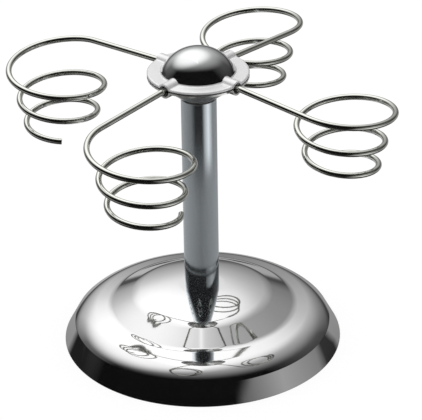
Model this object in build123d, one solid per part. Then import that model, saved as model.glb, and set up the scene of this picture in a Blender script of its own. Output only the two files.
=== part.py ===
from build123d import *
from math import acos, asin, cos, degrees, radians, sin, sqrt, tan
import os

# Four-arm spiral holder on a weighted foot. Millimetres, +Z up.
# The origin is the centre of the foot on the table. The head turns on the column about Z.

# driving dimensions
sheet = 1.0
foot_radius = 76.0
tube_radius = 9.5
tube_wall = 1.0
wire_radius = 1.5
rod_radius = 3.0

# foot pressing; angles are the steepness of its outside, from level
rim_gap = 0.1
rim_fillet = 0.4
skirt_width = 5.85
skirt_angle = 61.7
shoulder_radius = 1.5
shoulder_angle = 46.0
ring_curve_radius = 24.0
ring_run = 5.5
valley_angle = 12.5
valley_curve_radius = 13.0
slope_run = 11.5
slope_angle = 28.3
dome_bend_radius = 27.0
dome_edge_angle = 16.5
dome_curve_radius = 92.0
seat_radius = 12.0
foot_hole_radius = 5.0
meeting_distance = 0.001

# foot inside
pad_height = 2.6
pad_margin = 7.4
pad_width = 16.0
cover_sheet = 0.8
well_radius = 14.0
well_height = 11.8
weight_margin = 9.0
weight_top = 11.0
weight_chamfer = 2.0

# column and bearing
tube_top = 145.1
plug_length = 12.0
thread_clearance = 0.1
running_clearance = 0.05
spigot_radius = 6.0
bearing_top = 156.1
thrust_washer = 0.8
retaining_radius = 9.0
retaining_washer = 1.0
nut_pocket_radius = 9.5

# head pressings
split_height = 158.9
split_gap = 1.0
head_radius = 27.0
brim_edge_fillet = 0.7
dome_root_fillet = 1.2
port_clearance = 1.5
dome_radius = 19.8
dome_height = 12.7
neck_gap = 0.5
cone_outer_radius = 24.5
core_radius = 15.0
core_seat_radius = 21.5
core_top = 162.3

# fasteners
nut_flats = 10.0
nut_height = 5.0
lock_nut_height = 6.0
washer_radius = 6.0
washer_height = 1.6
spring_washer_radius = 5.0
spring_washer_split = 0.8
spring_washer_angle = 20.0
rod_margin = 1.1

# wire arms
arm_count = 4
arm_names = ["arm_back_right", "arm_back_left", "arm_front_left", "arm_front_right"]
arm_inner_radius = 10.5
arm_above_split = 0.4
arm_droop_angle = 3.15
arm_reach = 75.0
bend_angle = 45.0
bend_count = 21
entry_bend_radius = 26.4
coil_top_radius = 28.9
coil_end_radius = 18.0
coil_taper_power = 1.55
coil_descent_angle = 5.94
straight_between_bends = 0.4

tube_bore = tube_radius - tube_wall
rod_hole = rod_radius + thread_clearance
core_bottom = tube_top + thrust_washer + running_clearance
neck_height = tube_top + neck_gap
cap_under = split_height + split_gap / 2
cap_top = cap_under + sheet
rim_top = split_height - split_gap / 2
rim_under = rim_top - sheet
arm_inner_height = split_height + arm_above_split
port_radius = wire_radius + port_clearance
port_height = arm_inner_height - tan(radians(arm_droop_angle)) * (head_radius - arm_inner_radius)
arm_headings = [360.0 / arm_count * (n + 0.5) for n in range(arm_count)]


def turned(*outline):
    """Solid of revolution about Z from a closed outline of (radius, height) points."""
    return revolve(Plane.XZ * make_face(Polyline(*outline, close=True)), Axis.Z)


def ring(inner, outer, low, high):
    return turned((inner, low), (outer, low), (outer, high), (inner, high))


def hex_nut(low, height):
    high = low + height
    corner = nut_flats / 2 / cos(radians(30))
    flat = nut_flats / 2
    chamfer = (corner - flat) / 2
    blank = Pos(0, 0, low) * extrude(RegularPolygon(flat, 6, major_radius=False), height)
    envelope = turned((rod_radius, low), (flat, low), (corner, low + chamfer), (corner, high - chamfer),
                      (flat, high), (rod_radius, high))
    return blank & envelope


# foot

def skirt_inside(height):
    """Radius of the skirt's inner face at a height."""
    return foot_radius - height / tan(radians(skirt_angle)) - sheet / sin(radians(skirt_angle))


def away(length, angle):
    """Step out from the centre of a bend to where its surface has an angle."""
    return Vector(sin(radians(angle)), cos(radians(angle))) * length


def foot_bends():
    """Tangent arcs from skirt to seat: centre, radius (negative where hollow), start angle and end angle."""
    point = Vector(foot_radius - skirt_width, skirt_width * tan(radians(skirt_angle)))
    shapes = [(shoulder_radius, skirt_angle, shoulder_angle, 0),
              (ring_curve_radius, shoulder_angle, valley_angle, ring_run),
              (-valley_curve_radius, valley_angle, slope_angle, slope_run),
              (dome_bend_radius, slope_angle, dome_edge_angle, 0)]
    bends = []
    for radius, start, end, run in shapes:
        centre = point - away(radius, start)
        point = centre + away(radius, end) + away(run, end - 90)
        bends.append((centre, radius, start, end))
    centre = point - away(dome_curve_radius, dome_edge_angle)
    seat_edge_angle = degrees(asin((seat_radius - centre.X) / dome_curve_radius))
    bends.append((centre, dome_curve_radius, dome_edge_angle, seat_edge_angle))
    return bends


def seat_top(bends):
    centre, radius, _, end = bends[-1]
    return centre.Y + radius * cos(radians(end))


seat_height = seat_top(foot_bends())


def foot_section(skin, low):
    """Half section of the foot filled solid down to low, set in from its outside by skin."""
    arcs = []
    for centre, radius, start, end in foot_bends():
        reach = radius - skin
        if radius == dome_curve_radius:
            end = degrees(acos((seat_height - skin - centre.Y) / reach))
        stops = [centre + away(reach, angle) for angle in (start, (start + end) / 2, end)]
        arcs.append(ThreePointArc(*stops))
    gaps = [(a @ 1, b @ 0) for a, b in zip(arcs, arcs[1:])]
    runs = [Line(*gap) for gap in gaps if (gap[1] - gap[0]).length > meeting_distance]
    foot = foot_radius - low / tan(radians(skirt_angle)) - skin / sin(radians(skirt_angle))
    rest = Polyline(arcs[-1] @ 1, (0, seat_height - skin), (0, low), (foot, low), arcs[0] @ 0)
    return make_face([*arcs, *runs, rest])


def foot_pressing():
    section = foot_section(0, rim_gap)
    rim = section.vertices().sort_by(Axis.X)[-1]
    outside = revolve(Plane.XZ * fillet(rim, rim_fillet), Axis.Z)
    inside = revolve(Plane.XZ * foot_section(sheet, -sheet), Axis.Z)
    return outside - inside - ring(0, foot_hole_radius, 0, seat_height + sheet)


def foot_parts():
    under_well = well_height - cover_sheet
    shell_under_seat = seat_height - sheet
    weight_low = pad_height + cover_sheet
    weight_radius = skirt_inside(weight_low) - weight_margin
    pad_outer_radius = skirt_inside(pad_height) - pad_margin
    cover = turned((rod_hole, under_well), (well_radius, under_well), (well_radius, pad_height),
                   (skirt_inside(pad_height), pad_height), (skirt_inside(weight_low), weight_low),
                   (well_radius + cover_sheet, weight_low), (well_radius + cover_sheet, well_height),
                   (rod_hole, well_height))
    recess = well_radius + cover_sheet + thread_clearance
    weight = turned((recess, weight_low), (weight_radius, weight_low),
                    (weight_radius, weight_top - weight_chamfer),
                    (weight_radius - weight_chamfer, weight_top),
                    (seat_radius, weight_top), (seat_radius - weight_chamfer, shell_under_seat),
                    (foot_hole_radius, shell_under_seat),
                    (foot_hole_radius, well_height), (recess, well_height))
    washer_low = under_well - washer_height
    spring_low = washer_low - washer_height
    nut_low = spring_low - nut_height
    middle = spring_low + washer_height / 2
    split = Pos(washer_radius, 0, middle) * Rot(spring_washer_angle, 0, 0) * Box(
        2 * spring_washer_radius, spring_washer_split, 2 * washer_height)
    return {
        "foot_shell": foot_pressing(),
        "foot_weight": weight,
        "foot_cover": cover,
        "foot_pad": ring(pad_outer_radius - pad_width, pad_outer_radius, 0, pad_height),
        "foot_washer": ring(rod_radius, washer_radius, washer_low, under_well),
        "foot_spring_washer": ring(rod_radius, spring_washer_radius, spring_low, washer_low) - split,
        "foot_nut": hex_nut(nut_low, nut_height),
    }


# column

def column_parts():
    nut_top = bearing_top + retaining_washer + lock_nut_height
    washer_rim = tube_bore - 2 * running_clearance
    rod_low = well_height - cover_sheet - 2 * washer_height - nut_height - rod_margin
    foot_plug = turned((rod_hole, seat_height - sheet), (foot_hole_radius, seat_height - sheet),
                       (foot_hole_radius, seat_height), (tube_bore, seat_height),
                       (tube_bore, seat_height + plug_length), (rod_hole, seat_height + plug_length))
    bearing_plug = turned((rod_hole, tube_top - plug_length), (tube_bore, tube_top - plug_length),
                          (tube_bore, tube_top), (spigot_radius, tube_top), (spigot_radius, bearing_top),
                          (rod_hole, bearing_top))
    return {
        "column_tube": ring(tube_bore, tube_radius, seat_height, tube_top),
        "column_foot_plug": foot_plug,
        "column_bearing_plug": bearing_plug,
        "tie_rod": ring(0, rod_radius, rod_low, nut_top + rod_margin),
        "thrust_washer": ring(spigot_radius, washer_rim, tube_top, tube_top + thrust_washer),
        "retaining_washer": ring(rod_radius, retaining_radius, bearing_top, bearing_top + retaining_washer),
        "lock_nut": hex_nut(bearing_top + retaining_washer, lock_nut_height),
    }


# wire arms

def bend_radius(bend):
    if bend == 0:
        return entry_bend_radius
    left = 1 - (bend + 0.5) / bend_count
    return coil_end_radius + (coil_top_radius - coil_end_radius) * left**coil_taper_power


def arm_path():
    """Centre line of one arm along +X: a straight run, then bends to the left that tighten and descend."""
    half_turn = tan(radians(bend_angle / 2))
    radii = [bend_radius(bend) for bend in range(bend_count)]
    runs = [arm_reach - arm_inner_radius + radii[0] * half_turn]
    runs += [(a + b) * half_turn + straight_between_bends for a, b in zip(radii, radii[1:])]
    runs += [radii[-1] * half_turn + straight_between_bends]
    slopes = [tan(radians(arm_droop_angle))] + [tan(radians(coil_descent_angle))] * bend_count
    points = [Vector(arm_inner_radius, 0, arm_inner_height)]
    for count, (run, slope) in enumerate(zip(runs, slopes)):
        heading = radians(bend_angle * count)
        points.append(points[-1] + Vector(cos(heading), sin(heading), -slope) * run)
    return FilletPolyline(*points, radius=radii)


def wire_arm(path):
    section = Plane(origin=path @ 0, z_dir=path % 0) * Circle(wire_radius)
    return sweep(section, path=path)


# head

def ports(radius, start, end):
    """Radial tunnels for the arms, from start to end out from the axis."""
    tunnel = Pos(start, 0, port_height) * Rot(0, 90, 0) * Cylinder(
        radius, end - start, align=(Align.CENTER, Align.CENTER, Align.MIN))
    return [Rot(0, 0, heading) * tunnel for heading in arm_headings]


def cap_block(skin):
    """The dome on its brim, filled solid and set in by skin, with the root of the dome rounded."""
    curve = (dome_radius**2 + dome_height**2) / (2 * dome_height)
    centre = cap_top + dome_height - curve
    low = cap_under - skin
    high = cap_top - skin
    spread = degrees(asin((low - centre) / (curve - skin)))
    dome = CenterArc((0, centre), curve - skin, spread, 90 - spread)
    dome_section = make_face([dome, Polyline(dome @ 1, (0, low), dome @ 0)])
    brim = Polyline((0, low), (head_radius, low), (head_radius, high), (0, high), close=True)
    section = dome_section + make_face(brim)
    root = section.vertices().sort_by_distance((dome_radius, high))[0]
    section = fillet(root, dome_root_fillet + skin)
    edge = section.vertices().sort_by_distance((head_radius, high))[0]
    return revolve(Plane.XZ * fillet(edge, brim_edge_fillet), Axis.Z)


def head_cap():
    above = ring(0, head_radius, cap_under, cap_top + dome_height)
    outside = cap_block(0) + [rib & above for rib in ports(port_radius + sheet, core_radius, head_radius)]
    return outside - cap_block(sheet) - ports(port_radius, core_radius - sheet, head_radius + sheet)


def cone_inside(radius):
    """Height of the cone's inner face at a radius."""
    slope = (rim_under - neck_height) / (cone_outer_radius - tube_radius)
    return neck_height + (radius - tube_radius) * slope + sheet * sqrt(1 + slope**2)


def head_cone():
    slope = (rim_under - neck_height) / (cone_outer_radius - tube_radius)
    inner_rim = tube_bore + (rim_top - cone_inside(tube_bore)) / slope
    outside = turned((0, neck_height), (tube_radius, neck_height), (cone_outer_radius, rim_under),
                     (head_radius, rim_under), (head_radius, rim_top), (0, rim_top))
    inside = turned((0, neck_height - sheet), (tube_bore, neck_height - sheet),
                    (tube_bore, cone_inside(tube_bore)), (inner_rim, rim_top),
                    (inner_rim, rim_top + sheet), (0, rim_top + sheet))
    below = ring(0, head_radius, neck_height, rim_top)
    troughs = [rib & below for rib in ports(port_radius + sheet, core_radius, head_radius + sheet)]
    return outside + troughs - inside - ports(port_radius, core_radius - sheet, head_radius + sheet)


def head_core(arms):
    lower = tube_bore - running_clearance
    bore = spigot_radius + running_clearance
    pocket_floor = bearing_top - running_clearance
    shelf = rim_top - sheet / 2
    core = turned((bore, core_bottom), (lower, core_bottom), (lower, cone_inside(lower)),
                  (core_radius, cone_inside(core_radius)), (core_radius, shelf),
                  (core_seat_radius, shelf), (core_seat_radius, cap_under), (core_radius, cap_under),
                  (core_radius, core_top), (nut_pocket_radius, core_top), (nut_pocket_radius, pocket_floor),
                  (bore, pocket_floor))
    return core - arms


def head_parts():
    arm = wire_arm(arm_path())
    arms = [Rot(0, 0, heading) * arm for heading in arm_headings]
    pieces = {"head_cap": head_cap(), "head_cone": head_cone(), "head_core": head_core(arms)}
    return pieces | dict(zip(arm_names, arms))


os.makedirs("parts", exist_ok=True)
for name, shape in (foot_parts() | column_parts() | head_parts()).items():
    export_step(shape, f"parts/{name}.step")
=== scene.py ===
import math

import bpy
from mathutils import Matrix, Vector


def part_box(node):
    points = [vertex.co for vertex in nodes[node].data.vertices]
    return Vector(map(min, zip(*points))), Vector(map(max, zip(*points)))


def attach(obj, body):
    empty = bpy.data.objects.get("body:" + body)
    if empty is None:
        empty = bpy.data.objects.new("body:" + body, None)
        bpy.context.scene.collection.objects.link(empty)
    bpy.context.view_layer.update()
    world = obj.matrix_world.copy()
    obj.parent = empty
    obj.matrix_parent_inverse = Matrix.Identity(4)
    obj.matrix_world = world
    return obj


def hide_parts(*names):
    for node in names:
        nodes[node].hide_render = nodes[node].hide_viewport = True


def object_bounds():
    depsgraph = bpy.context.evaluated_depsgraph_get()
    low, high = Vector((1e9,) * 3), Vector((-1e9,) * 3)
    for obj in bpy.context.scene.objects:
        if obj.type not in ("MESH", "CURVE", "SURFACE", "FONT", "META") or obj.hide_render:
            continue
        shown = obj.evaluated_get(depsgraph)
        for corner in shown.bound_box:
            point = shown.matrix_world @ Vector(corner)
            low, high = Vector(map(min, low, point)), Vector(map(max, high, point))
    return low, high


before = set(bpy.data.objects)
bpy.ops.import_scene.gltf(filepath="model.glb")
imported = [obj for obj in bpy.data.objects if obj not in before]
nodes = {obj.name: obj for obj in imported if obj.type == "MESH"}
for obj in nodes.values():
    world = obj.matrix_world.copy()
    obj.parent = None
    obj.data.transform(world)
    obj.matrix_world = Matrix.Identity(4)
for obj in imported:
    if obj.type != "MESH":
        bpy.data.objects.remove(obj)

# A four-arm spiral stand in polished steel. Lengths below are millimetres unless noted, the scene is in metres.
mm = 0.001
cadLow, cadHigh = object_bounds()
print("frame loaded:", len(nodes), "nodes")


# shader helpers; values are a node's properties, or its inputs where the name is an input's

def addNode(tree, kind, **values):
    node = tree.nodes.new(kind)
    for key, value in values.items():
        name = key.replace("_", " ")
        if name in node.inputs:
            node.inputs[name].default_value = value
        else:
            setattr(node, key, value)
    return node


def ramp(tree, source, stops, smooth="LINEAR"):
    node = tree.nodes.new("ShaderNodeValToRGB")
    node.color_ramp.interpolation = smooth
    elements = node.color_ramp.elements
    while len(elements) < len(stops):
        elements.new(0.5)
    for element, (place, level) in zip(elements, stops):
        element.position = place
        colour = level if isinstance(level, tuple) else (level, level, level)
        element.color = (*colour, 1)
    tree.links.new(source, node.inputs["Fac"])
    return node.outputs["Color"]


def math2(tree, operation, a, b=0.0):
    node = tree.nodes.new("ShaderNodeMath")
    node.operation = operation
    for socket, value in zip(node.inputs, (a, b)):
        if isinstance(value, (int, float)):
            socket.default_value = value
        else:
            tree.links.new(value, socket)
    return node.outputs[0]


# finishes; the marks are fine wiping and faint clouding, as a roughness, a tone and a normal

marks = {"fineDetail": 3.0, "fineRoughness": 0.6, "fineShare": 0.45, "cloudScale": 28.0, "cloudDetail": 4.0,
         "cloudRoughness": 0.55, "cloudShare": 0.55, "toneSpan": 0.12, "toneFrom": 0.94, "bumpDistance": 0.00002}


def polishMarksGroup():
    group = bpy.data.node_groups.new("polishMarks", "ShaderNodeTree")
    for name, kind, value in (("Scale", "NodeSocketFloat", 600.0), ("Roughness", "NodeSocketFloat", 0.05),
                              ("Variation", "NodeSocketFloat", 0.03), ("Depth", "NodeSocketFloat", 0.02),
                              ("Stretch", "NodeSocketVector", (1.0, 1.0, 1.0))):
        group.interface.new_socket(name, in_out="INPUT", socket_type=kind).default_value = value
    group.interface.new_socket("Roughness", in_out="OUTPUT", socket_type="NodeSocketFloat")
    group.interface.new_socket("Tone", in_out="OUTPUT", socket_type="NodeSocketFloat")
    group.interface.new_socket("Normal", in_out="OUTPUT", socket_type="NodeSocketVector")
    inside = group.nodes.new("NodeGroupInput")
    outside = group.nodes.new("NodeGroupOutput")
    place = group.nodes.new("ShaderNodeTexCoord")
    stretch = group.nodes.new("ShaderNodeVectorMath")
    stretch.operation = "MULTIPLY"
    fine = addNode(group, "ShaderNodeTexNoise", Detail=marks["fineDetail"], Roughness=marks["fineRoughness"])
    cloud = addNode(group, "ShaderNodeTexNoise", Scale=marks["cloudScale"], Detail=marks["cloudDetail"],
                    Roughness=marks["cloudRoughness"])
    links = group.links
    links.new(place.outputs["Object"], stretch.inputs[0])
    links.new(inside.outputs["Stretch"], stretch.inputs[1])
    links.new(stretch.outputs[0], fine.inputs["Vector"])
    links.new(inside.outputs["Scale"], fine.inputs["Scale"])
    links.new(place.outputs["Object"], cloud.inputs["Vector"])
    both = math2(group, "ADD", math2(group, "MULTIPLY", fine.outputs["Fac"], marks["fineShare"]),
                 math2(group, "MULTIPLY", cloud.outputs["Fac"], marks["cloudShare"]))
    centred = math2(group, "SUBTRACT", both, 0.5)
    links.new(math2(group, "ADD", math2(group, "MULTIPLY", centred, inside.outputs["Variation"]),
                    inside.outputs["Roughness"]), outside.inputs["Roughness"])
    links.new(math2(group, "ADD", math2(group, "MULTIPLY", cloud.outputs["Fac"], marks["toneSpan"]),
                    marks["toneFrom"]), outside.inputs["Tone"])
    bump = addNode(group, "ShaderNodeBump", Strength=1.0)
    links.new(inside.outputs["Depth"], bump.inputs["Strength"])
    bump.inputs["Distance"].default_value = marks["bumpDistance"]
    links.new(fine.outputs["Fac"], bump.inputs["Height"])
    links.new(bump.outputs["Normal"], outside.inputs["Normal"])
    return group


polishMarks = polishMarksGroup()


def metal(name, colour, roughness, variation, scale, depth=0.02, stretch=(1, 1, 1), metallic=1.0):
    made = bpy.data.materials.new(name)
    made.use_nodes = True
    tree = made.node_tree
    shader = tree.nodes["Principled BSDF"]
    shader.inputs["Metallic"].default_value = metallic
    worn = tree.nodes.new("ShaderNodeGroup")
    worn.node_tree = polishMarks
    for key, value in (("Scale", scale), ("Roughness", roughness), ("Variation", variation), ("Depth", depth),
                       ("Stretch", stretch)):
        worn.inputs[key].default_value = value
    tint = tree.nodes.new("ShaderNodeMix")
    tint.data_type = "RGBA"
    tint.blend_type = "MULTIPLY"
    tint.inputs["Factor"].default_value = 1.0
    tint.inputs["A"].default_value = (*colour, 1)
    tree.links.new(worn.outputs["Tone"], tint.inputs["B"])
    tree.links.new(tint.outputs["Result"], shader.inputs["Base Color"])
    tree.links.new(worn.outputs["Roughness"], shader.inputs["Roughness"])
    tree.links.new(worn.outputs["Normal"], shader.inputs["Normal"])
    return made


# grained, not metal
def matt(name, dark, light, roughness, scale, depth):
    made = bpy.data.materials.new(name)
    made.use_nodes = True
    tree = made.node_tree
    shader = tree.nodes["Principled BSDF"]
    place = tree.nodes.new("ShaderNodeTexCoord")
    grain = addNode(tree, "ShaderNodeTexNoise", Scale=scale, Detail=5.0)
    tree.links.new(place.outputs["Object"], grain.inputs["Vector"])
    tree.links.new(ramp(tree, grain.outputs["Fac"], ((0.3, dark), (0.7, light))), shader.inputs["Base Color"])
    tree.links.new(math2(tree, "ADD", math2(tree, "MULTIPLY", grain.outputs["Fac"], 0.2), roughness - 0.1),
                   shader.inputs["Roughness"])
    bump = addNode(tree, "ShaderNodeBump", Strength=0.5)
    bump.inputs["Distance"].default_value = depth * mm
    tree.links.new(grain.outputs["Fac"], bump.inputs["Height"])
    tree.links.new(bump.outputs["Normal"], shader.inputs["Normal"])
    return made


metals = {
    "polishedSteel": {"colour": (0.93, 0.93, 0.93), "roughness": 0.045, "variation": 0.05, "scale": 900.0},
    "columnSteel": {"colour": (0.81, 0.88, 0.93), "roughness": 0.1, "variation": 0.06, "scale": 500.0,
                    "stretch": (6, 6, 0.3), "metallic": 0.98},
    "wireSteel": {"colour": (0.93, 0.94, 0.875), "roughness": 0.055, "variation": 0.04, "scale": 700.0,
                  "depth": 0.004},
    "pressedSteel": {"colour": (0.93, 0.94, 0.945), "roughness": 0.06, "variation": 0.05, "scale": 900.0},
    "coneSteel": {"colour": (0.93, 0.935, 0.92), "roughness": 0.1, "variation": 0.06, "scale": 900.0,
                  "metallic": 0.93},
    "satinSteel": {"colour": (0.97, 0.97, 0.97), "roughness": 0.36, "variation": 0.2, "scale": 1500.0,
                   "depth": 0.15, "metallic": 0.65},
    "plainSteel": {"colour": (0.55, 0.55, 0.56), "roughness": 0.35, "variation": 0.2, "scale": 300.0, "depth": 0.2},
    "zincSteel": {"colour": (0.66, 0.68, 0.72), "roughness": 0.28, "variation": 0.25, "scale": 400.0,
                  "depth": 0.15}}
matts = {
    "castIron": {"dark": (0.03, 0.03, 0.032), "light": (0.09, 0.09, 0.095), "roughness": 0.6, "scale": 700.0,
                 "depth": 0.2},
    "footRubber": {"dark": (0.018, 0.018, 0.018), "light": (0.04, 0.04, 0.041), "roughness": 0.75,
                   "scale": 1500.0, "depth": 0.12},
    # painted shade: the thrust washer is near black to stand for the shade in the gap between the head and the
    # column
    "nylon": {"dark": (0.012, 0.012, 0.013), "light": (0.022, 0.022, 0.023), "roughness": 0.55, "scale": 500.0,
              "depth": 0.03}}
finishes = {name: metal(name, **values) for name, values in metals.items()}
finishes.update({name: matt(name, **values) for name, values in matts.items()})

hidden = {"foot_weight": "castIron", "foot_cover": "plainSteel", "foot_pad": "footRubber",
          "foot_washer": "zincSteel", "foot_spring_washer": "zincSteel", "foot_nut": "zincSteel",
          "column_foot_plug": "plainSteel", "column_bearing_plug": "plainSteel", "tie_rod": "zincSteel",
          "thrust_washer": "nylon", "retaining_washer": "zincSteel", "lock_nut": "zincSteel",
          "head_core": "plainSteel"}  # solids shown as they are, inside or underneath
for node, finish in hidden.items():
    nodes[node].data.materials.clear()
    nodes[node].data.materials.append(finishes[finish])
print("finishes made")


# mesh helpers

# a smooth-shaded mesh from millimetre points, in place of its solid
def newPiece(name, points, faces, finish, body, replaced, sharp=30.0):
    mesh = bpy.data.meshes.new(name)
    mesh.from_pydata([Vector(p) * mm for p in points], [], faces)
    mesh.validate()
    mesh.polygons.foreach_set("use_smooth", [True] * len(mesh.polygons))
    mesh.set_sharp_from_angle(angle=math.radians(sharp))
    mesh.materials.append(finishes[finish])
    piece = bpy.data.objects.new(name, mesh)
    bpy.context.scene.collection.objects.link(piece)
    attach(piece, body)
    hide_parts(replaced)
    return piece


# a closed outline of (radius, height), turned about Z
def turnedRings(outline, count):
    points = [(r * math.cos(a), r * math.sin(a), z)
              for a in [2 * math.pi * k / count for k in range(count)] for r, z in outline]
    size = len(outline)
    faces = []
    for k in range(count):
        here, after = k * size, (k + 1) % count * size
        for i in range(size):
            j = (i + 1) % size
            faces.append((here + i, after + i, after + j, here + j))
    return points, faces


# foot

foot = {"sheet": 1.0, "holeRadius": 5.0, "seatRadius": 12.0, "rimRadius": 76.0, "rimGap": 0.1, "rimRound": 0.4,
        "skirtWidth": 5.85, "skirtAngle": 61.7, "shoulderRadius": 1.5, "shoulderAngle": 46.0,
        "ringRadius": 24, "ringRun": 5.5, "valleyAngle": 12.5, "valleyRadius": 13, "slopeRun": 11.5,
        "slopeAngle": 28.3, "bendRadius": 27, "domeAngle": 16.5, "domeRadius": 92,
        "tightBend": 5, "tightSteps": 6, "wideSteps": 24, "segments": 320, "sharpAngle": 12}


# tangent bends of (angle from, angle to, radius, straight run after it), set in by skin
def bendChain(start, bends, skin):
    r, z = start
    chain = []
    for angleFrom, angleTo, radius, run in bends:
        a, b = math.radians(angleFrom), math.radians(angleTo)
        centre = (r - radius * math.sin(a), z - radius * math.cos(a))
        steps = foot["tightSteps"] if abs(radius) < foot["tightBend"] else foot["wideSteps"]
        for k in range(steps + 1):
            t = a + (b - a) * k / steps
            chain.append((centre[0] + (radius - skin) * math.sin(t), centre[1] + (radius - skin) * math.cos(t)))
        r = centre[0] + radius * math.sin(b) - run * math.cos(b)
        z = centre[1] + radius * math.cos(b) + run * math.sin(b)
    return chain, (r, z)


# the sheet's outline and the height of the column's seat
def footOutline():
    f = foot
    slope = math.tan(math.radians(f["skirtAngle"]))
    bends = [(f["skirtAngle"], f["shoulderAngle"], f["shoulderRadius"], 0),
             (f["shoulderAngle"], f["valleyAngle"], f["ringRadius"], f["ringRun"]),
             (f["valleyAngle"], f["slopeAngle"], -f["valleyRadius"], f["slopeRun"]),
             (f["slopeAngle"], f["domeAngle"], f["bendRadius"], 0)]
    start = (f["rimRadius"] - f["skirtWidth"], f["skirtWidth"] * slope)
    domeEdge = bendChain(start, bends, 0)[1]
    centre = domeEdge[0] - f["domeRadius"] * math.sin(math.radians(f["domeAngle"]))
    seatAngle = math.degrees(math.asin((f["seatRadius"] - centre) / f["domeRadius"]))
    bends.append((f["domeAngle"], seatAngle, f["domeRadius"], 0))
    outer, (_, seatHeight) = bendChain(start, bends, 0)
    inner = bendChain(start, bends, f["sheet"])[0]
    outer.reverse()
    inner.reverse()
    low, half = f["rimGap"], math.radians(f["skirtAngle"] / 2)
    rim = f["rimRadius"] - low / slope
    back = f["rimRound"] / math.tan(math.pi / 2 - half)
    # three points round the rim's edge
    corner = [(rim - back * 2 * math.cos(math.radians(f["skirtAngle"])) * 0.5,
               low + back * math.sin(2 * half) * 0.5),
              (rim - back * 0.42, low + back * 0.1), (rim - back, low)]
    innerRim = rim - f["sheet"] / math.sin(math.radians(f["skirtAngle"]))
    top = [(f["holeRadius"], seatHeight)] + outer + corner
    under = [(f["holeRadius"], seatHeight - f["sheet"])] + inner + [(innerRim, low)]
    return under[::-1] + top, seatHeight


outline, seatHeight = footOutline()
points, faces = turnedRings(outline, foot["segments"])
newPiece("footShell", points, [face[::-1] for face in faces], "polishedSteel", "stand",
         "foot_shell", sharp=foot["sharpAngle"])
print("foot made, the column's seat at", round(seatHeight, 3), "mm")


# column

column = {"outerRadius": 9.5, "innerRadius": 8.5, "bottom": seatHeight, "chamfer": 0.25, "segments": 144}


def columnOutline():
    c = column
    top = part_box("column_tube")[1].z / mm
    edge = c["outerRadius"] - c["chamfer"]
    return [(c["innerRadius"], c["bottom"]), (c["outerRadius"], c["bottom"]),
            (c["outerRadius"], top - c["chamfer"]), (edge, top), (c["innerRadius"], top)]


points, faces = turnedRings(columnOutline(), column["segments"])
tube = newPiece("columnTube", points, faces, "columnSteel", "stand", "column_tube")
tube.data.materials.append(finishes["plainSteel"])
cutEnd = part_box("column_tube")[1].z - column["chamfer"] * mm
for face in tube.data.polygons:
    face.material_index = 1 if face.center.z > cutEnd else 0  # the cut end isn't polished
print("column made")


# wire arms

wire = {"radius": 1.6, "innerRadius": 10.5, "innerHeight": 159.3, "droopAngle": 3.15, "reach": 74.77,
        "entryRadius": 26.4, "topRadius": 28.65, "endRadius": 18.0, "taperPower": 1.55, "descentAngle": 5.94,
        "bends": 21, "bendAngle": 45.0, "straightInBend": 0.4, "sides": 20, "endChamfer": 0.15,
        "straightSteps": 8, "stepAngle": 3.0, "easeAngle": 20}
armHeadings = {"arm_back_right": 45.0, "arm_back_left": 135.0, "arm_front_left": 225.0, "arm_front_right": 315.0}


# radius of the spiral after so many degrees of turning
def coilRadius(turned):
    left = 1 - turned / (wire["bends"] * wire["bendAngle"])
    free = wire["endRadius"] + (wire["topRadius"] - wire["endRadius"]) * left**wire["taperPower"]
    blend = min(1, max(0, (turned - wire["bendAngle"] / 2) / wire["bendAngle"]))
    return wire["entryRadius"] + (free - wire["entryRadius"]) * blend


# an arm's centre line along +X: a straight run, then a spiral to the left that tightens and goes down
def armLine():
    droop = math.tan(math.radians(wire["droopAngle"]))
    fall = math.tan(math.radians(wire["descentAngle"]))
    x, y, z = wire["innerRadius"], 0.0, wire["innerHeight"]
    line = [(x, y, z)]
    for _ in range(wire["straightSteps"]):
        step = (wire["reach"] - wire["innerRadius"]) / wire["straightSteps"]
        x, z = x + step, z - step * droop
        line.append((x, y, z))
    stepAngle = wire["stepAngle"]
    stretch = 2 * math.tan(math.radians(wire["bendAngle"] / 2)) / math.radians(wire["bendAngle"])
    turned = 0.0
    while turned < wire["bends"] * wire["bendAngle"]:
        middle = turned + stepAngle / 2
        radius = coilRadius(middle) + wire["straightInBend"] / math.radians(wire["bendAngle"])
        step = radius * math.radians(stepAngle)
        x += step * math.cos(math.radians(middle))
        y += step * math.sin(math.radians(middle))
        ease = min(1, middle / wire["easeAngle"])
        z -= step * (droop + (fall * stretch - droop) * ease)
        turned += stepAngle
        line.append((x, y, z))
    return [Vector(p) for p in line]


# a round wire along a line, its cut ends chamfered
def wireMesh(line):
    sides, radius, chamfer = wire["sides"], wire["radius"], wire["endChamfer"]
    ways = [(line[min(i + 1, len(line) - 1)] - line[max(i - 1, 0)]).normalized() for i in range(len(line))]
    across = Vector((0, 0, 1)).cross(ways[0]).normalized()
    rings = []
    for centre, way in zip(line, ways):
        across = (across - way * across.dot(way)).normalized()
        rings.append((centre, across.copy(), way.cross(across), radius))
    first, last = rings[0], rings[-1]
    rings = ([(first[0], first[1], first[2], radius - chamfer)]
             + [(first[0] + ways[0] * chamfer, first[1], first[2], radius)] + rings[1:-1]
             + [(last[0] - ways[-1] * chamfer, last[1], last[2], radius)]
             + [(last[0], last[1], last[2], radius - chamfer)])
    points, faces = [], []
    for centre, side, up, reach in rings:
        for k in range(sides):
            a = 2 * math.pi * k / sides
            points.append(centre + side * (reach * math.cos(a)) + up * (reach * math.sin(a)))
    for i in range(len(rings) - 1):
        for k in range(sides):
            n = (k + 1) % sides
            faces.append((i * sides + k, i * sides + n, (i + 1) * sides + n, (i + 1) * sides + k))
    faces.append(tuple(range(sides))[::-1])
    faces.append(tuple(range((len(rings) - 1) * sides, len(rings) * sides)))
    return points, faces


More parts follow.
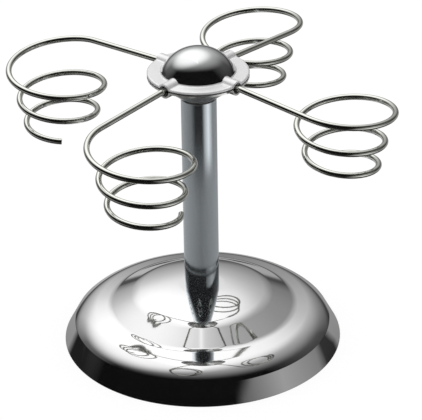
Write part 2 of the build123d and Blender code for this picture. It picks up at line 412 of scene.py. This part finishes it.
wirePoints, wireFaces = wireMesh(armLine())
for node, heading in armHeadings.items():
    swing = Matrix.Rotation(math.radians(heading), 3, "Z")
    name = "wire" + "".join(word.title() for word in node.split("_")[1:])
    newPiece(name, [swing @ p for p in wirePoints], wireFaces, "wireSteel", "head", node)
print("arms made")


# head

head = {"rimRadius": 27.0, "sheet": 1.0, "capUnder": 159.4, "rimTop": 158.4, "domeRadius": 19.8, "domeHeight": 12.7,
        "rootBlend": 1.3, "edgeRoll": 0.8, "portRadius": 3.0, "portHeight": 158.39, "portStart": 15.0,
        "ribBlend": 0.9, "neckHeight": 145.6, "neckRadius": 9.5, "coneRadius": 24.5, "neckBore": 8.5,
        "rollDrop": 0.45, "rollInside": 0.3, "coneBlend": 1.0, "satinFrom": 0.3, "sharpAngle": 50, "spokes": 720}


def softMax(a, b, blend):
    h = max(blend - abs(a - b), 0) / blend
    return max(a, b) + h * h * blend / 4


# how far out along the nearest arm, and how far to its side
def ribAcross(x, y):
    heading = math.degrees(math.atan2(y, x))
    nearest = min(armHeadings.values(), key=lambda h: abs((heading - h + 180) % 360 - 180))
    a = math.radians(nearest)
    return x * math.cos(a) + y * math.sin(a), abs(-x * math.sin(a) + y * math.cos(a))


# height of the cap's face at a place, set in by skin
def capSurface(x, y, skin, ribs=True):
    h = head
    radius = math.hypot(x, y)
    curve = (h["domeRadius"]**2 + h["domeHeight"]**2) / (2 * h["domeHeight"])
    centre = h["capUnder"] + h["sheet"] + h["domeHeight"] - curve
    reach = curve - skin
    flat = h["capUnder"] + h["sheet"] - skin
    roll = max(0, radius - (h["rimRadius"] - h["edgeRoll"])) / h["edgeRoll"]
    flat -= h["rollDrop"] * roll * roll * (1 if skin == 0 else h["rollInside"])
    dome = centre + math.sqrt(max(reach**2 - radius**2, 0)) if radius < reach else centre
    height = softMax(dome, flat, h["rootBlend"] + skin)
    along, across = ribAcross(x, y)
    arch = h["portRadius"] + h["sheet"] - skin
    if ribs and along > 0 and across < arch:
        height = softMax(height, h["portHeight"] + math.sqrt(arch**2 - across**2), h["ribBlend"])
    return height


# height of the cone's face at a place, set in by skin from the outside, which is below
def coneSurface(x, y, skin):
    h = head
    radius = math.hypot(x, y)
    slope = (h["rimTop"] - h["sheet"] - h["neckHeight"]) / (h["coneRadius"] - h["neckRadius"])
    cone = h["neckHeight"] + max(0, radius - h["neckRadius"]) * slope
    rim = h["rimTop"] - h["sheet"]
    height = -softMax(-cone, -rim, h["coneBlend"])
    height += skin * (math.sqrt(1 + slope**2) if radius < h["coneRadius"] - 1 else 1)
    height = min(height, rim + skin)
    along, across = ribAcross(x, y)
    arch = h["portRadius"] + h["sheet"] - skin
    if along > h["portStart"] and across < arch:
        height = -softMax(-height, -(h["portHeight"] - math.sqrt(arch**2 - across**2)), h["ribBlend"])
    return height


# a pressed sheet between two faces, over rings and spokes
def plate(radii, surface, sheet, closedCentre):
    spokes = head["spokes"]
    angles = [2 * math.pi * k / spokes for k in range(spokes)]
    points, faces = [], []
    layers = []
    for skin in (0.0, sheet):
        layer = []
        for r in radii:
            ring = []
            for a in angles:
                x, y = r * math.cos(a), r * math.sin(a)
                ring.append(len(points))
                points.append((x, y, surface(x, y, skin)))
            layer.append(ring)
        layers.append(layer)

    def band(low, high, flip):
        for k in range(spokes):
            n = (k + 1) % spokes
            quad = (low[k], high[k], high[n], low[n])
            faces.append(quad[::-1] if flip else quad)

    for layer, flip in zip(layers, (False, True)):
        for low, high in zip(layer, layer[1:]):
            band(low, high, flip)
        if closedCentre:
            cap = tuple(layer[0])
            faces.append(cap[::-1] if flip else cap)
    band(layers[0][-1], layers[1][-1], False)
    if not closedCentre:
        band(layers[0][0], layers[1][0], True)
    return points, faces


capRadii = ([0.4 + k * 0.6 for k in range(30)] + [18.2 + k * 0.2 for k in range(18)]
            + [22.0 + k * 0.5 for k in range(9)] + [26.3, 26.5, 26.7, 26.85, 26.95, 27.0])
points, faces = plate(capRadii, capSurface, head["sheet"], True)
cap = newPiece("headCap", points, faces, "pressedSteel", "head", "head_cap",
               sharp=head["sharpAngle"])
cap.data.materials.append(finishes["satinSteel"])  # for the brim and the ribs
for face in cap.data.polygons:
    x, y, z = (value / mm for value in face.center)
    onDome = math.hypot(x, y) < head["domeRadius"] - head["satinFrom"]
    bareDome = capSurface(x, y, 0.0, ribs=False) if onDome else 0
    face.material_index = 1 if z > bareDome + head["satinFrom"] else 0
coneRadii = ([head["neckBore"], head["neckRadius"]] + [10 + k * 0.6 for k in range(24)]
             + [24.3, 24.8, 25.4, 26.0, 26.6, 27.0])
points, faces = plate(coneRadii, coneSurface, head["sheet"], False)
newPiece("headCone", points, [face[::-1] for face in faces], "coneSteel", "head", "head_cone",
         sharp=head["sharpAngle"])
print("head made")


# studio; ways round are in degrees: 0 behind, 90 right, 180 in front, 270 left
# floor and room are fixed in the scene and don't follow the camera

studio = {"turn": -3.29}  # degrees, for the floor, the room and the camera
# the floor as reflections see it, a painted reflection of light and shade, in stops of (way round, level): near the
# foot, farther out, and at a low angle;
# each From is a span of metres from the centre, each Facing a span of Layer Weight's Facing
paleFloor = {
    "size": 6.0, "glow": 1.05, "glowShare": 0.8, "colour": (0.9, 0.9, 0.9), "roughness": 0.9,
    "near": ((0, 0.47), (32, 0.32), (180, 0.16), (302, 0.32), (335, 0.47), (360, 0.47)),
    "far": ((0, 0.42), (35, 0.27), (140, 0.2), (164, 0.01), (204, 0.01), (233, 0.16), (360, 0.42)),
    "farFrom": (0.16, 0.275),
    "patch": ((87, 0), (120, 1), (157, 0)), "patchFrom": (0.198, 0.238), "patchLevel": (0.85, 0.85, 0.85),
    "grazing": ((0, 0.1), (50, 0.035), (160, 0.013), (290, 0.013), (360, 0.1)),
    "grazingShift": ((0, 0.03), (25, 0.115), (60, 0.09), (90, 0), (290, 0), (330, 0.07), (360, 0.03)),
    "grazingFacing": ((0.8, 0), (0.87, 1)),
    "behind": ((35, 1), (55, 0), (300, 0), (325, 1)), "behindFacing": ((0.945, 0), (0.99, 1)),
    "steepFacing": ((0.1, 0.12), (0.36, 0.22), (0.46, 1))}
# the room as reflections see it: two soft lights above, a glow behind that climbs with height, a panel on the right
room = {
    "dark": 0.004,
    "main": {"axis": (-0.213, 0.507, 0.835), "reach": (0.697, 0.963), "level": 0.98},
    "fill": {"axis": (-0.042, 0.516, 0.855), "reach": (0.533, 0.966), "level": 0.41},
    "sharpness": 3.0,
    "behind": ((0, 0.37), (30, 0.21), (50, 0.055), (110, 0), (270, 0), (305, 0.11), (328, 0.46), (343, 0.49),
               (360, 0.37)),
    "lift": ((0, 0.002), (40, 0.024), (120, 0), (310, 0.026), (330, 0.003), (360, 0.002)),
    "climb": ((-3, 0.08), (6, 0.47), (26, 0.9), (40, 0.96)), "climbAt": 0.6,
    "panel": ((60, 0), (68, 0.19), (112, 0.34), (148, 0.11), (155, 0)),
    "panelTop": ((140, 0), (110, 6), (90, 15.5), (70, 21), (50, 24), (28, 23)),  # degrees right of front, rise
    "panelEdge": (-0.012, 0.004), "panelFoot": ((-1, 0.1), (3.5, 1))}


# a ramp over a value that counts turns or half turns, with its stops in degrees
def degreesRamp(tree, source, full, offset, stops):
    return ramp(tree, source, [((angle + offset) / full, value) for angle, value in stops])


def aroundRamp(tree, way, stops):
    return degreesRamp(tree, way, 360, 0, stops)


# the angle about Z, over full turns
def wayAround(tree, x, y):
    angle = math2(tree, "DIVIDE", math2(tree, "ARCTAN2", x, y), 2 * math.pi)
    return math2(tree, "FRACT", math2(tree, "ADD", angle, 1.0))


# the vector turned by the studio's own angle, so that Y points away from the main view
def turnedToStudio(tree, source):
    spin = tree.nodes.new("ShaderNodeMapping")
    spin.inputs["Rotation"].default_value[2] = -math.radians(studio["turn"])
    tree.links.new(source, spin.inputs["Vector"])
    split = tree.nodes.new("ShaderNodeSeparateXYZ")
    tree.links.new(spin.outputs[0], split.inputs[0])
    return spin.outputs[0], split.outputs


# a soft step from 0 to 1 between two values
def softStep(tree, source, span, low=0.0, high=1.0):
    step = addNode(tree, "ShaderNodeMapRange", interpolation_type="SMOOTHSTEP", To_Min=low, To_Max=high)
    step.inputs["From Min"].default_value, step.inputs["From Max"].default_value = span
    tree.links.new(source, step.inputs["Value"])
    return step.outputs["Result"]


def mixed(tree, factor, a, b, blend="MIX"):
    node = tree.nodes.new("ShaderNodeMix")
    node.data_type = "RGBA"
    node.blend_type = blend
    for key, value in (("Factor", factor), ("A", a), ("B", b)):
        if isinstance(value, tuple):
            node.inputs[key].default_value = (*value, 1)
        elif isinstance(value, (int, float)):
            node.inputs[key].default_value = value
        else:
            tree.links.new(value, node.inputs[key])
    return node.outputs["Result"]


# pale to the eye; in reflections painted light and shade: a small grey table, with a dark room in front and light
# behind it
def makeFloor():
    f = paleFloor
    size = f["size"] / 2
    z = min(cadLow.z, 0)
    mesh = bpy.data.meshes.new("floor")
    mesh.from_pydata([(-size, -size, z), (size, -size, z), (size, size, z), (-size, size, z)], [], [(0, 1, 2, 3)])
    floor = bpy.data.objects.new("floor", mesh)
    bpy.context.scene.collection.objects.link(floor)
    made = bpy.data.materials.new("paleFloor")
    made.use_nodes = True
    tree = made.node_tree
    links = tree.links
    shader = tree.nodes["Principled BSDF"]
    shader.inputs["Base Color"].default_value = (*f["colour"], 1)
    shader.inputs["Roughness"].default_value = f["roughness"]
    shader.inputs["Specular IOR Level"].default_value = 0.0
    rays = tree.nodes.new("ShaderNodeLightPath")
    glow = addNode(tree, "ShaderNodeEmission", Color=(1, 1, 1, 1), Strength=f["glow"])
    seen = tree.nodes.new("ShaderNodeMixShader")
    links.new(math2(tree, "MULTIPLY", rays.outputs["Is Camera Ray"], f["glowShare"]), seen.inputs["Fac"])
    links.new(shader.outputs[0], seen.inputs[1])
    links.new(glow.outputs[0], seen.inputs[2])

    place = tree.nodes.new("ShaderNodeTexCoord")
    spun, (x, y, _) = turnedToStudio(tree, place.outputs["Object"])
    way = wayAround(tree, x, y)
    distance = tree.nodes.new("ShaderNodeVectorMath")
    distance.operation = "LENGTH"
    links.new(spun, distance.inputs[0])
    away = distance.outputs["Value"]
    lit = mixed(tree, softStep(tree, away, f["farFrom"]), aroundRamp(tree, way, f["near"]),
                aroundRamp(tree, way, f["far"]))
    # painted light: a brighter patch on the floor on the right, towards the front, seen only in reflections
    patch = math2(tree, "MULTIPLY", aroundRamp(tree, way, f["patch"]), softStep(tree, away, f["patchFrom"]))
    lit = mixed(tree, patch, lit, f["patchLevel"])
    slope = tree.nodes.new("ShaderNodeLayerWeight")
    facing = math2(tree, "SUBTRACT", slope.outputs["Facing"], aroundRamp(tree, way, f["grazingShift"]))
    low = ramp(tree, facing, f["grazingFacing"])  # painted reflection: the dark line at the far edge of the table
    lowest = math2(tree, "MULTIPLY", aroundRamp(tree, way, f["behind"]), ramp(tree, facing, f["behindFacing"]))
    lit = mixed(tree, math2(tree, "SUBTRACT", low, lowest), lit, aroundRamp(tree, way, f["grazing"]))
    # painted shade: the floor's reflected level is darker where a reflected ray meets it steeply, so the undersides
    # of the wires show dark
    lit = mixed(tree, 1.0, lit, ramp(tree, slope.outputs["Facing"], f["steepFacing"]), "MULTIPLY")
    reflected = addNode(tree, "ShaderNodeEmission")
    links.new(lit, reflected.inputs["Color"])
    whole = tree.nodes.new("ShaderNodeMixShader")
    links.new(rays.outputs["Is Glossy Ray"], whole.inputs["Fac"])
    links.new(seen.outputs[0], whole.inputs[1])
    links.new(reflected.outputs[0], whole.inputs[2])
    links.new(whole.outputs[0], tree.nodes["Material Output"].inputs["Surface"])
    mesh.materials.append(made)


# white to the eye and for plain light; in reflections soft lights above and behind in a dark room
def makeWorld():
    world = bpy.data.worlds.new("studio")
    bpy.context.scene.world = world
    world.use_nodes = True
    tree = world.node_tree
    links = tree.links
    background = tree.nodes["Background"]
    place = tree.nodes.new("ShaderNodeTexCoord")
    spun, (x, y, z) = turnedToStudio(tree, place.outputs["Generated"])
    way = wayAround(tree, x, y)
    # half turns, 0.5 at the horizon
    level = math2(tree, "ADD", math2(tree, "DIVIDE", math2(tree, "ARCSINE", z), math.pi), 0.5)

    def softLight(light):
        lean = tree.nodes.new("ShaderNodeVectorMath")
        lean.operation = "DOT_PRODUCT"
        links.new(spun, lean.inputs[0])
        lean.inputs[1].default_value = Vector(light["axis"]).normalized()
        return softStep(tree, lean.outputs["Value"], light["reach"], high=light["level"])  # reach in cosines

    raised = math2(tree, "SUBTRACT", level, aroundRamp(tree, way, room["lift"]))
    low = math2(tree, "MULTIPLY", aroundRamp(tree, way, room["behind"]),
                degreesRamp(tree, raised, 180, 90, room["climb"]))
    low = math2(tree, "MULTIPLY", low, 1 / room["climbAt"])
    powers = [math2(tree, "POWER", light, room["sharpness"])
              for light in (softLight(room["main"]), softLight(room["fill"]), low)]
    lights = math2(tree, "ADD", math2(tree, "ADD", powers[0], powers[1]), powers[2])
    lights = math2(tree, "POWER", lights, 1 / room["sharpness"])
    panelTop = ramp(tree, way, [((180 - right) / 360, (rise + 90) / 180) for right, rise in room["panelTop"]])
    above = math2(tree, "SUBTRACT", level, panelTop)
    panel = math2(tree, "MULTIPLY", aroundRamp(tree, way, room["panel"]),
                  degreesRamp(tree, level, 180, 90, room["panelFoot"]))
    panel = math2(tree, "MULTIPLY", panel, softStep(tree, above, room["panelEdge"], low=1.0, high=0.0))
    whole = math2(tree, "ADD", math2(tree, "MAXIMUM", lights, panel), room["dark"])
    rays = tree.nodes.new("ShaderNodeLightPath")
    links.new(mixed(tree, rays.outputs["Is Glossy Ray"], (1, 1, 1), whole), background.inputs["Color"])
    background.inputs["Strength"].default_value = 1.0


makeFloor()
makeWorld()
print("studio made")


# camera

view = {"distance": 1.4021, "elevation": 28.329, "roll": -1.003, "aimX": -0.00002, "aimHeight": 0.08028,
        "focalPixels": 2602.43, "frameWidth": 422, "frameHeight": 420, "centreX": 200.503, "centreY": 205.136,
        "sensorWidth": 36, "nearest": 0.05, "farthest": 20}


def makeCamera():
    v = view
    e, r = math.radians(v["elevation"]), math.radians(v["roll"])
    place = Vector((v["aimX"], -v["distance"] * math.cos(e), v["aimHeight"] + v["distance"] * math.sin(e)))
    forward = Vector((0, math.cos(e), -math.sin(e)))
    level = Vector((1, 0, 0))
    upright = level.cross(forward)
    right = math.cos(r) * level + math.sin(r) * upright
    up = -math.sin(r) * level + math.cos(r) * upright
    pose = Matrix((right, up, -forward)).transposed().to_4x4()
    pose.translation = place
    data = bpy.data.cameras.new("camera")
    data.sensor_width = v["sensorWidth"]
    data.lens = v["focalPixels"] * data.sensor_width / v["frameWidth"]
    data.shift_x = (v["frameWidth"] / 2 - v["centreX"]) / v["frameWidth"]
    data.shift_y = (v["centreY"] - v["frameHeight"] / 2) / v["frameWidth"]
    data.clip_start, data.clip_end = v["nearest"], v["farthest"]
    camera = bpy.data.objects.new("camera", data)
    camera.matrix_world = Matrix.Rotation(math.radians(studio["turn"]), 4, "Z") @ pose
    bpy.context.scene.collection.objects.link(camera)
    bpy.context.scene.camera = camera


makeCamera()
bpy.context.scene.view_settings.view_transform = "Standard"
print("camera made")
